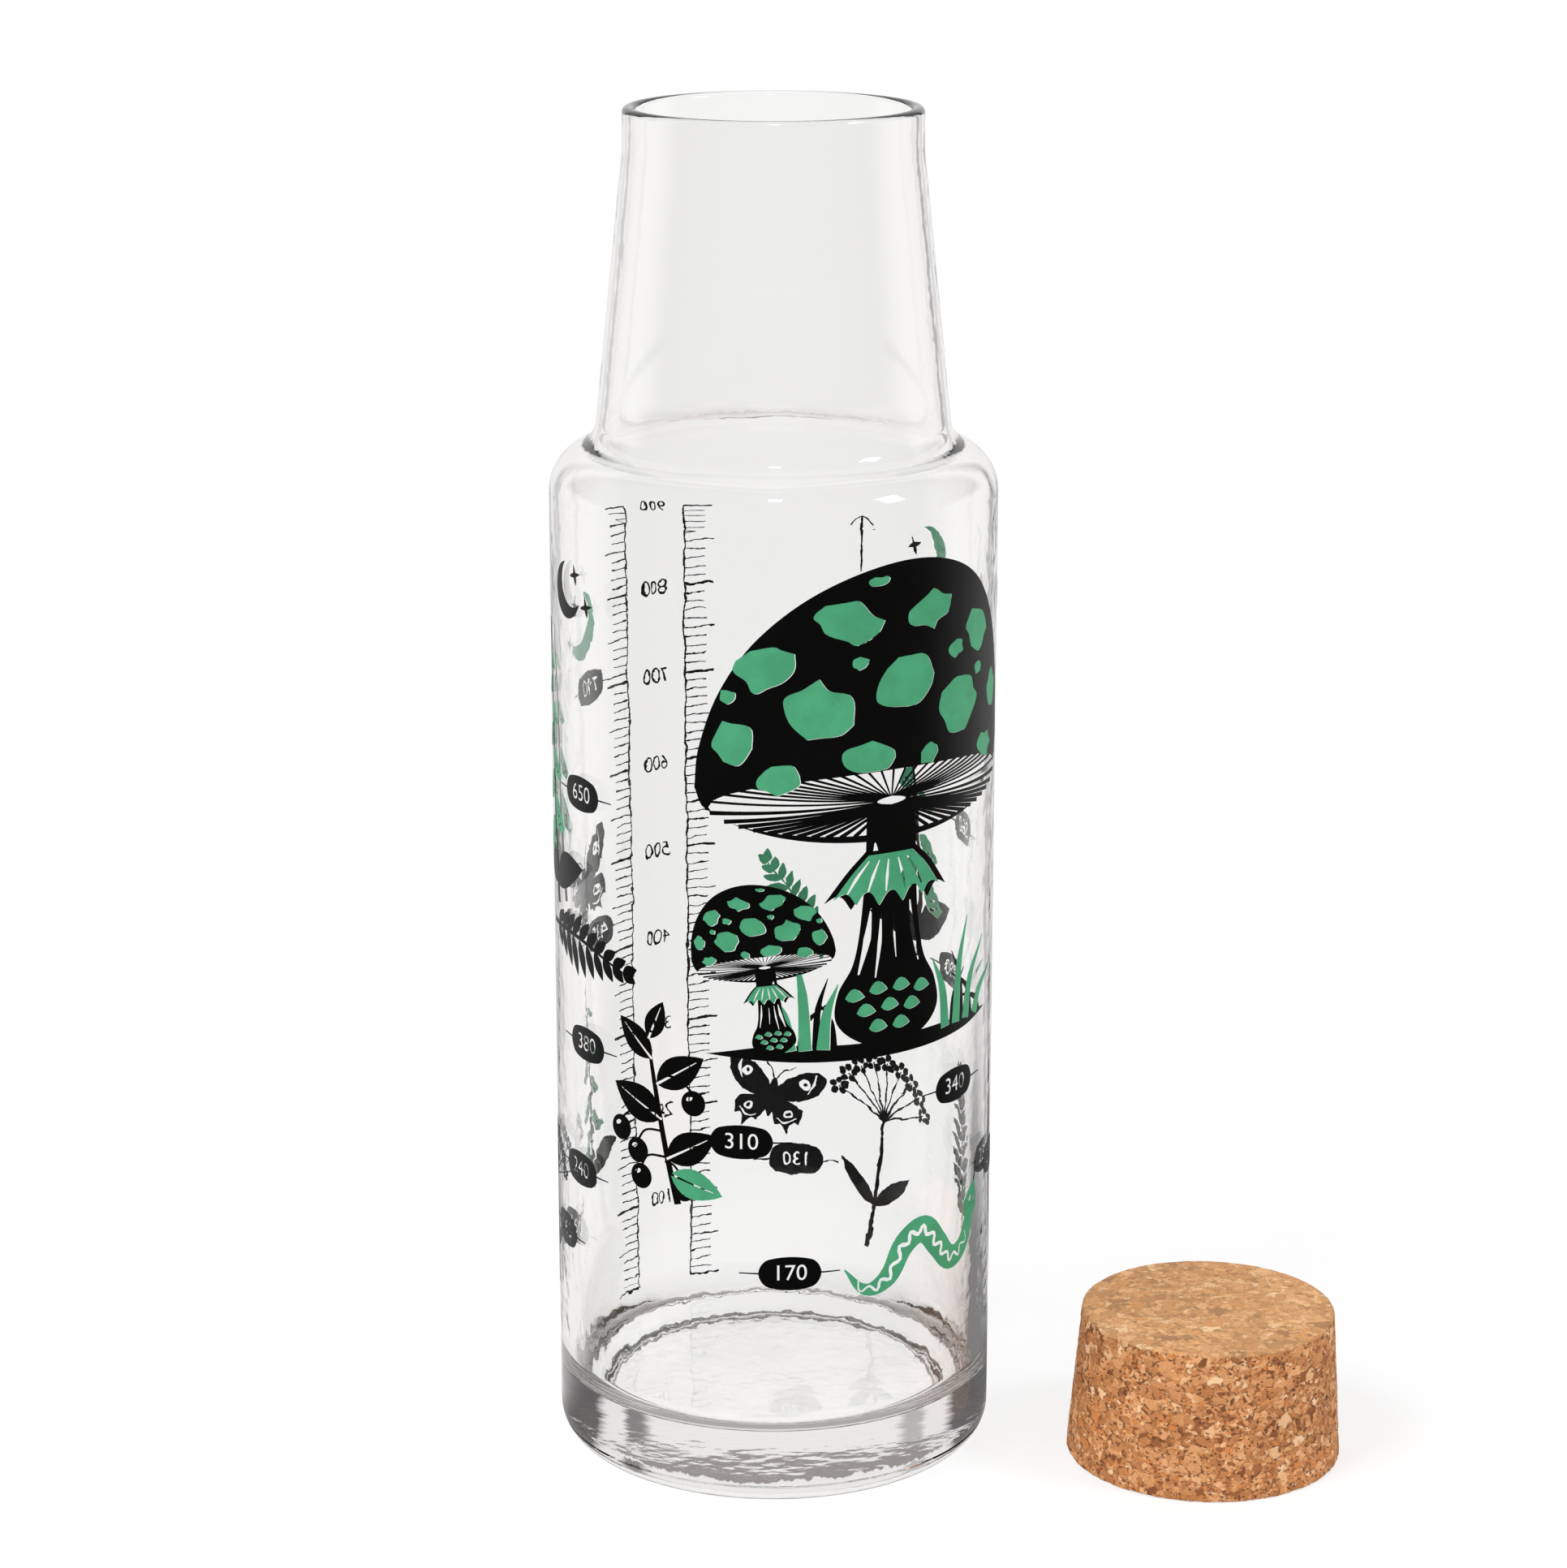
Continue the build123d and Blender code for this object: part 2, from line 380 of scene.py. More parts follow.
def fired_enamel(name, shade, rough):
    """Fired enamel: an even colour with a faint mottle and a few dark pinholes, and a satin gloss that the grain
    of the screen breaks."""
    made, place = material(name)
    mottle = place.node("TexNoise", {"Vector": place, "Scale": 150.0, "Detail": 4.0})[0]
    grain = place.node("TexNoise", {"Vector": place, "Scale": 2400.0, "Detail": 2.0})[0]
    pits = place.node("TexVoronoi", {"Vector": place, "Scale": 260.0, "Randomness": 1.0})[0]
    pinhole = place.node("MapRange", {0: pits, 1: 0.05, 2: 0.09, 3: 1.0, 4: 0.0})[0]
    spread = place.node("MapRange", {0: mottle, 1: 0.35, 2: 0.65})[0]
    colour = spread.blend((*(0.86 * part for part in shade), 1), (*(1.06 * part for part in shade), 1))
    colour = (pinhole * 0.35).blend(colour, (*(0.5 * part for part in shade), 1))
    normal = place.node("Bump", {"Height": grain, "Strength": 0.2, "Distance": 0.00002})[0]
    coat = place.node("BsdfPrincipled", {
        "Base Color": colour, "Roughness": grain * 0.15 + rough, "Normal": normal, "Specular IOR Level": 0.12,
    })[0]
    place.node("OutputMaterial", {"Surface": coat})
    return made


enamels = {"black_enamel": fired_enamel("black_enamel", (0.0032, 0.003, 0.0028), 0.3)}
for ladder in ("scale_ladder_left", "scale_ladder_right"):
    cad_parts[ladder].data.materials.clear()
    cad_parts[ladder].data.materials.append(enamels["black_enamel"])
numbers = [
    outline
    for hundreds in range(1, 10)
    for outline in figures(str(hundreds * 100), number_size, (around(scale_bearing), level(hundreds * 100)))
]
printed("scale_numbers", [(numbers, True)], "black_enamel")

# A large and a small fly agaric fill the front. The black screen prints their caps, gills and stalks, and the
# green one their warts, skirts and grass, a hair out of register. Both coats are fired on with the scale.
enamels["green_enamel"] = fired_enamel("green_enamel", (0.066, 0.335, 0.168), 0.32)
out_of_register = (-0.14, 0.06)
green_over_black = 0.02


def curve(points, closed=True, corners=(), step=7):
    """A smooth line through points. Each span is the cubic a(2t^3 - 3t^2 + 1) + b(3t^2 - 2t^3)
    + l(u(t^3 - 2t^2 + t) + v(t^3 - t^2)) of its ends a, b, its length l and the directions u, v there, which
    point from the neighbour before to the one after, or along the span itself at a corner or a free end."""
    points = np.array(points, float)
    reach = np.roll(points, -1, axis=0) - np.roll(points, 1, axis=0)
    direction = reach / np.maximum(np.linalg.norm(reach, axis=1, keepdims=True), 1e-9)
    span = np.roll(points, -1, axis=0) - points
    length = np.linalg.norm(span, axis=1, keepdims=True)
    leave, arrive = direction.copy(), np.roll(direction, -1, axis=0)
    for corner in corners if closed else (*corners, 0, len(points) - 1):
        leave[corner] = (span / length)[corner]
        arrive[corner - 1] = (span / length)[corner - 1]
    t = np.linspace(0, 1, step, endpoint=False)[:, None, None]
    line = (
        points * (2 * t**3 - 3 * t**2 + 1) + np.roll(points, -1, axis=0) * (3 * t**2 - 2 * t**3)
        + length * (leave * (t**3 - 2 * t**2 + t) + arrive * (t**3 - t**2))
    )
    line = line.transpose(1, 0, 2)
    return line.reshape(-1, 2) if closed else np.concatenate([line[:-1].reshape(-1, 2), points[-1:]])


def stroke(points, widths, step=6):
    """A tapering stroke along a smooth line: its outline is the line moved half the width to each side, along
    the normal (-y, x) of its direction. The widths are spread evenly over its points."""
    line = curve(points, closed=False, step=step)
    run = np.gradient(line, axis=0)
    normal = np.stack([-run[:, 1], run[:, 0]], axis=1) / np.linalg.norm(run, axis=1, keepdims=True)
    share = np.linspace(0, len(widths) - 1, len(line))
    half = np.interp(share, np.arange(len(widths)), widths)[:, None] / 2
    return np.concatenate([line + normal * half, (line - normal * half)[::-1]])


def oval(middle, across, up, turn=0.0, count=28):
    """An ellipse of half widths across and up, turned by degrees."""
    a = np.linspace(0, 2 * np.pi, count, endpoint=False)
    return placed(np.stack([across * np.cos(a), up * np.sin(a)], axis=1), middle, turn)


def placed(outline, at=(0, 0), turn=0.0, size=1.0):
    """An outline scaled (a negative first size mirrors it), turned by degrees and moved."""
    c, s = np.cos(np.radians(turn)), np.sin(np.radians(turn))
    return outline * size @ np.array([[c, s], [-s, c]]) + at


def leaf(base, tip, broad, bend=0.0, count=11):
    """A pointed leaf. At the share t of its length its middle lies bend sin(pi t) to the left of the line from
    base to tip, and its edges lie half of broad sin(pi t)^0.8 (1.25 - 0.5 t) to each side of that."""
    t = np.linspace(0, 1, count)[:, None]
    base, run = np.array(base, float), np.subtract(tip, base)
    normal = np.array([-run[1], run[0]]) / np.hypot(*run)
    middle = base + run * t + normal * bend * np.sin(np.pi * t)
    half = normal * broad / 2 * np.sin(np.pi * t) ** 0.8 * (1.25 - 0.5 * t)
    return np.concatenate([middle + half, (middle - half)[-2:0:-1]])


def moved(coats, at, turn=0.0, size=1.0):
    """Coats scaled, turned and moved together."""
    return [([placed(outline, at, turn, size) for outline in group], inked) for group, inked in coats]


def motif(name, at, black=(), green=(), turn=0.0, size=1.0):
    """Prints the two screens of a motif at a place on the wall, each as a piece. Green lies over black."""
    if black:
        printed(name + "_black", moved(black, at, turn, size), "black_enamel")
    if green:
        coats = moved(green, np.array(at) + out_of_register, turn, size)
        printed(name + "_green", coats, "green_enamel", above=green_over_black)


cap = curve([
    (-39, 0.5), (-38.2, 8), (-34, 19.5), (-26.5, 30), (-15, 38.5), (-1, 43), (12, 42.6), (24, 37.4), (33, 27.5),
    (38.2, 15), (39.6, 3), (37, -2.6), (25, -7.6), (8, -10.4), (-10, -10.4), (-26, -8), (-37, -3.4),
], corners=(0, 10))
underside = oval((0.4, -3.2), 36.6, 6.2)
gill_ends = np.arccos(np.linspace(-0.985, 0.985, 27))
gills = [
    stroke([(3.2 * np.cos(a), -3 + 0.8 * np.sin(a)), (36.9 * np.cos(a) + 0.4, -3.2 + 6.4 * np.sin(a))], (0.3, wide), 2)
    for ends, wide in ((gill_ends, 0.5), (-gill_ends, 0.85)) for a in ends
]
wart_rows = (
    (-25, 24, 5.6, 4.4, 20), (-9, 32.5, 6.4, 4.2, -6), (9.5, 33, 5.4, 3.6, 14), (25, 26.5, 4.8, 3.8, -28),
    (-31.5, 9.5, 3.6, 4.6, -12), (-15.5, 15.5, 7.0, 5.6, -14), (3, 20.2, 6.6, 5.2, 8), (18, 13.2, 6.2, 5.6, 22),
    (33.4, 12.6, 2.9, 4.4, 10), (-22.5, 2.6, 4.2, 3.0, 12), (-4.5, 5.8, 5.2, 3.5, -8), (9.2, 4.8, 2.6, 2.0, 30),
    (29.5, 2.6, 3.6, 2.4, -8), (-32.2, 18.6, 1.6, 1.4, 0), (17, 24.2, 2.3, 1.8, 0), (-3, 39.8, 2.4, 0.9, 8),
    (-6.6, 24.4, 1.6, 1.3, 0), (25.4, 18.6, 1.5, 1.3, 0),
)
chance = np.random.default_rng(41)
warts = []
for x, y, across, up, turn in wart_rows:
    angles = np.linspace(0, 2 * np.pi, 11, endpoint=False) + chance.uniform(-0.2, 0.2, 11)
    reach = chance.uniform(0.78, 1.16, 11)
    lobes = np.stack([across * reach * np.cos(angles), up * reach * np.sin(angles)], axis=1)
    warts.append(placed(curve(lobes, corners=(0, 3, 4, 8), step=5), (x, y), turn))
stalk = curve([
    (-5.4, -4), (-5.6, -14), (-6.6, -27), (-8.2, -35), (-11.2, -40.5), (-11.4, -46.5), (-6, -51), (0, -52),
    (6.4, -51), (11.6, -46.5), (11, -40.5), (8, -35), (6.4, -27), (5.8, -14), (5.6, -4),
], corners=(0, 14))
lights = [
    stroke([(-3.6, -11), (-3.5, -12.6), (-3.7, -14)], (0.3, 1.1, 0.3)),
    stroke([(-4.4, -24), (-5.2, -30), (-7, -37)], (0.3, 1.6, 0.4)),
    stroke([(-2.2, -24.5), (-2.5, -31), (-3.4, -38)], (0.2, 0.9, 0.3)),
    stroke([(4.4, -23.5), (5, -29), (6.6, -36)], (0.3, 1.0, 0.3)),
    stroke([(0.6, -25.5), (0.8, -30), (1.2, -34.5)], (0.2, 0.5, 0.2)),
]
skirt = curve([
    (-5.6, -12.6), (5.8, -12.6), (9.4, -16), (14, -22), (11.2, -21), (8.8, -23.6), (6.2, -20.8), (3.2, -24.2),
    (0.2, -21.2), (-3, -24.4), (-5.8, -21), (-8.6, -23.8), (-11, -21), (-14, -22.2), (-9.4, -16.4),
], corners=(0, 1, 3, 5, 7, 9, 11, 13))
lace = placed(skirt, (0.0, -2.6), size=0.86)
folds = [stroke([(x * 0.5, -14.6), (x * 0.78, -17.8), (x, -21)], (0.25, 0.7, 0.3)) for x in (-9.4, -5, -1, 3.4, 7.6)]
scale_places = (
    (-7.6, -41.6), (-2.6, -40.6), (2.6, -40.6), (7.6, -41.6), (-5.2, -44.8), (0, -44.2), (5.2, -44.8), (-2.6, -48.2),
    (2.6, -48.2),
)
scales = [leaf((x - 2, y), (x + 2, y), 2.6, 0.5, 7) for x, y in scale_places]
toadstool = (
    [([cap], True), ([underside], False)] + [([gill], True) for gill in gills]
    + [([stalk], True), (lights, False), ([skirt], True)] + [([shape], False) for shape in (*warts, *scales, lace)]
)
toadstool_green = [([shape], True) for shape in (*warts, *scales, lace)] + [(folds, False)]

# The small toadstool is the large one made smaller and turned over left to right. Three blades of grass stand
# behind it, so its outline is left clear in them.
small_place = {"at": (-25.5, -33.5), "turn": 7, "size": (-0.36, 0.36)}
small_rim = moved([([shape], False) for shape in (cap, stalk, skirt)], **small_place)
turf = -51.5
tufts = ((-20.5, 5, 13), (-17.5, 2, 20), (-14, -3, 13), (14.5, 4, 15), (18, -4, 21), (21.6, -8, 15), (25.5, -10, 8))
blades = [
    [stroke([(x, turf), (x - lean / 4, turf + tall * 0.55), (x - lean, turf + tall)], (2.6, 1.9, 0.15))]
    for x, lean, tall in tufts
]
shadows = [
    [stroke(
        [(x + 2, turf), (x + 2 + lean / 5, turf + tall * 0.42), (x + 2.3 + lean, turf + tall * 0.72)],
        (1.6, 1.2, 0.15),
    )]
    for x, lean, tall in tufts
]
ground = curve([
    (-37, -52.4), (-24, -50.4), (-6, -50.9), (8, -50.4), (22, -50.6), (31, -51.5), (20, -53.2), (2, -54.1),
    (-18, -53.8),
], corners=(0, 5))
motif(
    "toadstools", (23.5, 147.2),
    toadstool + [([ground], True)] + [(blade, True) for blade in shadows] + [(blade, False) for blade in blades]
    + moved(toadstool, **small_place),
    toadstool_green + [(blade, True) for blade in blades[:3]] + small_rim + moved(toadstool_green, **small_place)
    + [(blade, True) for blade in blades[3:]],
)

# A snake of the green screen lies along the lower wall, with the zigzag of its back and its eyes left clear. The
# black screen adds its forked tongue.
spine = [
    (-17, -1.5), (-12.5, -6.2), (-7.5, -4.4), (-3.6, 1.6), (1.2, 3.6), (5.4, -0.6), (9.4, -4.6), (14, -3.2), (17, 2.4),
]
back = curve(spine, closed=False)
run = np.gradient(back, axis=0)
aside = np.stack([-run[:, 1], run[:, 0]], axis=1) / np.linalg.norm(run, axis=1, keepdims=True)
zigzag = (back + aside * np.where(np.arange(len(back)) % 4 < 2, 0.75, -0.75)[:, None])[4:-4]
motif(
    "snake", (31.0, 51.5),
    [([stroke([(18.6, 8.2), (19.4, 10.2), (21, 11)], (0.5, 0.35, 0.2))], True),
     ([stroke([(19.3, 10), (19.2, 11.4), (19.9, 12.4)], (0.35, 0.3, 0.2))], True)],
    [([stroke(spine, (0.3, 2.4, 4.4, 5.4, 5.6, 5.4, 5.0, 4.2, 3.6))], True),
     ([leaf((15.8, 0.5), (19, 8.8), 5.4)], True),
     ([stroke(zigzag[::2], (0.3, 0.7, 0.9, 0.9, 0.8, 0.6, 0.3), 3)], False),
     ([oval((17.2, 5.4), 0.7, 0.5, 40, 10), oval((19, 4.9), 0.6, 0.45, 60, 10)], False)],
)

# A sprig of nightshade grows beside the toadstools. The black screen prints its leaves with clear veins and its
# berries with a clear glint, and the green one a last leaf.
sprig = (
    ((1.6, -11), (12, -5), 6.6), ((0.6, -3), (-11, 2.6), 7.2), ((-0.6, 4), (9.6, 10.6), 6.4),
    ((-1.6, 9), (-9.4, 16.4), 5.4), ((-2.4, 13), (1, 21), 4.4),
)
berries = ((-5.2, -10.4), (-9.4, -6.6), (-4.4, -15.6), (7.4, 1.2), (5.2, -16.6))
motif(
    "nightshade", (-23.5, 83.0),
    [([stroke([(4, -20), (1.4, -9), (-1, 4), (-2.8, 15)], (1.5, 1.2, 1.0, 0.5))], True)]
    + [([leaf(*row)], True) for row in sprig]
    + [([stroke([base, np.array(base) * 0.15 + np.array(tip) * 0.85], (0.55, 0.15))], False) for base, tip, _ in sprig]
    + [([stroke([(1.2, y + 5), (x * 0.6, y + 4.6), (x, y + 2)], (0.5, 0.45, 0.5))], True) for x, y in berries]
    + [([oval((x, y), 2.5, 2.6)], True) for x, y in berries]
    + [([oval((x - 0.8, y + 0.9), 0.75, 0.45, 30, 12)], False) for x, y in berries],
    [([leaf((2.6, -14), (13.4, -17.4), 6.0)], True), ([stroke([(2.6, -14), (11.6, -16.8)], (0.5, 0.15))], False)],
)

# Small motifs fill the sides and the back: fronds, foxgloves, umbels, moths, moons and a plain arrow. Each is
# drawn once, in black, green or both, and printed at several places in other sizes and turns.
frond = (
    [([stroke([(-16, -1.6), (0, 0.8), (16, -1.2)], (1.0, 0.8, 0.3))], True)]
    + [([leaf((x, 0.46 - x * x / 155), (x + 3.4, side * (6.6 - abs(x + 3) * 0.3) - 0.6), 2.3)], True)
       for x in np.arange(-12, 14.5, 2.9) for side in (-1, 1)]
)
bell = curve(
    [(0, 0), (2.4, -0.4), (4.8, -3.2), (7.4, -6.4), (5.4, -8.0), (2.0, -7.0), (0.6, -3.4)], corners=(0, 3, 4, 5))
perches = [
    (side * 0.5, -13 + step * 4.7, side * (1 - step * 0.085), 1 - step * 0.085)
    for step, side in enumerate((-1, 1) * 4)
]
bells = [placed(bell, (x, y), size=(across, up)) for x, y, across, up in perches]
freckles = [
    placed(oval(middle, 0.55, 0.4, count=10), perch[:2], size=perch[2:])
    for perch in perches for middle in ((3.2, -4.4), (4.6, -5.9), (3.2, -6.4))
]
foxglove = (
    [([stroke([(1.5, -30), (0, -12), (0.4, 8), (-1, 27)], (1.5, 1.2, 0.9, 0.4))], True)]
    + [([leaf((1, -26), tip, 7, bend)], True) for tip, bend in (((15, -21), 1.5), ((-12, -18), -1.5))]
    + [([shape], False) for shape in bells] + [(freckles, True)]
)
foxglove_green = [([shape], True) for shape in bells] + [(freckles, False)]
rays = [(13 * np.sin(a), 6 + 12.5 * np.cos(a)) for a in np.radians(np.linspace(-68, 68, 9))]
umbel = (
    [([stroke([(1.6, -24), (0.4, -8), (0, 6)], (1.2, 1.0, 0.7))], True)]
    + [([stroke([(0, 5.6), (0.45 * x, 2 + 0.55 * y), (x, y)], (0.5, 0.4, 0.35))], True) for x, y in rays]
    + [([oval((x + 1.5 * np.cos(a), y + 1.3 * np.sin(a)), 0.85, 0.8, count=12)], True)
       for x, y in rays for a in np.arange(0.3, 6.5, 1.25)]
    + [([leaf((0.8, -14), (x, -5), 3.2)], True) for x in (-9, 10)]
)
wing = curve([(0.5, 2), (6, 7.6), (13, 10.8), (16, 9), (13.4, 2.6), (7, -1.2), (0.5, -1)], corners=(0, 2, 6))
hind = curve([
    (0.5, -1), (6.6, -1.6), (11, -3.4), (10.6, -8.6), (8.4, -8.2), (7.6, -12), (5, -9.4), (3.2, -9.8), (1, -5),
], corners=(0, 3, 5, 7))
eyes = [oval((9.6, 5.6), 1.9, 1.7), oval((6.6, -5.2), 1.4, 1.4)]
bands = [
    stroke([(12.4, 9.6), (12.2, 6), (10.8, 2.8)], (0.4, 0.8, 0.3)),
    stroke([(3.2, -7.4), (6, -8.6), (9.2, -6)], (0.3, 0.6, 0.3)),
]
halves = ((1, 1), (-1, 1))
moth = (
    [([placed(shape, size=half)], True) for half in halves for shape in (wing, hind)]
    + [([placed(shape, size=half)], False) for half in halves for shape in (*eyes, *bands)]
    + [([placed(oval(middle, 0.7, 0.7, count=12), size=half)], True)
       for half in halves for middle in ((9.6, 5.6), (6.6, -5.2))]
    + [([oval((0, -1), 1.6, 6.4)], True)]
    + [([placed(stroke([(0.5, 5), (2, 8), (5.4, 10.4)], (0.4, 0.5, 0.2)), size=half)], True) for half in halves]
)
moth_green = [([oval((0, -1.6), 0.9, 4.6)], True)]
moon = [([oval((0, 0), 7, 7, count=40)], True), ([oval((3.2, 1.6), 6, 6, count=40)], False)]
star = [
    ([placed(leaf((-2.6, 0), (2.6, 0), 1.2, count=7), at, turn)], True)
    for at in ((5.4, 3.4), (9, -4.6)) for turn in (0, 90)
]
arrow = [
    ([stroke([(0, -6), (0, 6)], (0.45, 0.45), 2)], True),
    ([stroke([(-2.6, 3), (0, 6.1), (2.6, 3)], (0.4, 0.45, 0.4), 2)], True),
]
motif("foxglove_left", (-61.0, 146.0), foxglove, foxglove_green, turn=4)
motif("foxglove_right", (103.0, 122.0), foxglove, foxglove_green, turn=-6)
motif("foxglove_back", (-83.0, 70.0), foxglove, foxglove_green, turn=-3, size=(-0.8, 0.8))
motif("frond_left", (-46.0, 111.0), frond, turn=-8)
motif("frond_back", (133.0, 99.0), (), frond, turn=58, size=0.8)
motif("frond_right", (78.0, 56.0), frond, turn=82, size=1.1)
motif("umbel_back", (112.0, 48.0), umbel, turn=5)
motif("umbel_left", (-66.0, 52.0), umbel, turn=-4, size=0.8)
motif("moth_back", (138.5, 57.0), moth, moth_green, turn=14, size=0.7)
motif("moth_right", (80.0, 168.0), moth, moth_green, turn=-12, size=0.9)
motif("moth_left", (-83.0, 112.0), moth, moth_green, turn=-18, size=0.8)
motif("moon_left", (-50.0, 181.0), moon + star, turn=12, size=0.8)
motif("moon_back", (100.0, 178.0), star, moon, turn=-20, size=0.8)
motif("moon_side", (-84.0, 166.0), star, moon, turn=20)
motif("arrow", (118.5, 178.0), arrow)

# Rounded tags stand at the height of the volume in millilitres that they give. Their plain figures are left clear
# in the black, and a fine line runs out to each side.
tags = (
    (-6.5, 310), (3.0, 170), (41.5, 340), (-44.0, 380), (-47.0, 240), (-45.0, 650), (62.0, 230), (82.0, 560),
    (88.0, 390), (116.0, 730), (133.0, 130), (-55.5, 160), (-90.0, 430), (-88.0, 710),
)
tag_number_size = 4.6
tag_end, tag_flat, tag_half_height = 6.2, 4.2, 2.9
line_from, line_to = 6.0, 10.0
pill = curve([
    (-tag_end, 0), (-tag_flat, tag_half_height), (tag_flat, tag_half_height), (tag_end, 0),
    (tag_flat, -tag_half_height), (-tag_flat, -tag_half_height),
], step=6)
side_lines = [stroke([(side * line_from, 0), (side * line_to, 0)], (0.32, 0.22), 2) for side in (-1, 1)]
for way, volume in tags:
    text = figures(str(volume), tag_number_size, (0, 0))
    motif(f"tag_{volume}", (way, level(volume)), [(side_lines, True), ([pill], True), (text, False)])

# The stopper is a frustum ground from a block of pressed cork granules, and stands wide end down. It is a turned
# mesh whose points sink by the height of their granule, with two worn places on its edges.
stopper_low, stopper_high = (np.array(corner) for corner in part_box("cork_stopper"))
stopper_middle = (stopper_low + stopper_high) / 2
wide_end_radius = 27.9 * MM
narrow_end_radius = 25.6 * MM
cork_height = 30.7 * MM
edge_bend = 0.6 * MM
cork_lean = 0.45 * MM
stopper_section = rounded([
    (0, 0, 0),
    (wide_end_radius, 0, edge_bend),
    (narrow_end_radius, cork_height, edge_bend),
    (0, cork_height, 0),
], row=0.5 * MM)
stopper_columns = 330
stopper = turned("cork", stopper_section, (0, cork_height), stopper_columns, stopper_middle[:2])


def granules(points, size, seed):
    """Cellular noise: each cube of a grid holds one grain centre, from the row of a random table that three
    primes times the cube's three numbers add up to. Returns the distances from each point to its nearest centre
    and to the next, in sizes, and a random number for each nearest grain."""
    places = points / size
    cubes = np.floor(places).astype(int)
    table_rows, primes = 4096, (73, 179, 283)
    chance = np.random.default_rng(seed).random((table_rows, 4))
    near, second = np.full((2, len(points)), 9.0)
    lot = np.zeros(len(points))
    for corner in np.ndindex(3, 3, 3):
        cube = cubes + corner - 1
        drawn = chance[cube @ primes % table_rows]
        apart = np.linalg.norm(cube + drawn[:, :3] - places, axis=1)
        second = np.minimum(second, np.maximum(apart, near))
        lot = np.where(apart < near, drawn[:, 3], lot)
        near = np.minimum(near, apart)
    return near, second, lot


# Each granule lies at its own depth, some of the large ones have an open joint round them, and a few small ones
# have dropped out. The top is smoother. A worn place has a direction from the middle of the foot, and what reaches
# further that way than it says is rubbed down to a tenth. The top sits a little to the right of the foot.
granule_size, small_granule_size = 1.7 * MM, 0.9 * MM
granule_depth, small_granule_depth, joint_depth, pit_depth = 0.13 * MM, 0.06 * MM, 0.16 * MM, 0.25 * MM
worn = (((-0.62, 0.46, 0.72), 39.25 * MM), ((0.34, -0.66, -0.42), 24.05 * MM))
count = len(stopper.data.vertices)
points = np.empty(count * 3, np.float32)
normals = np.empty(count * 3, np.float32)
stopper.data.vertices.foreach_get("co", points)
stopper.data.vertices.foreach_get("normal", normals)
points = points.reshape(-1, 3).astype(float) - (*stopper_middle[:2], 0)
normals = normals.reshape(-1, 3)
near, second, lot = granules(points, granule_size, seed=7)
fine_near, _, fine_lot = granules(points, small_granule_size, seed=8)
open_joint = np.clip(1 - (second - near) / 0.12, 0, 1) * (lot > 0.5)
pit = np.clip(1 - fine_near / 0.4, 0, 1) * (fine_lot > 0.93)
sunk = granule_depth * lot + small_granule_depth * fine_lot + joint_depth * open_joint + pit_depth * pit
sunk *= 1 - 0.65 * (normals[:, 2] > 0.9)
points -= normals * sunk[:, None]
for direction, reach in worn:
    direction = np.array(direction) / np.linalg.norm(direction)
    over = points @ direction - reach
    points -= direction * (np.maximum(over, 0) * 0.9)[:, None]
points[:, 0] += cork_lean * points[:, 2] / cork_height
points += (*stopper_middle[:2], 0)
stopper.data.vertices.foreach_set("co", points.astype(np.float32).ravel())
stopper.data.update()


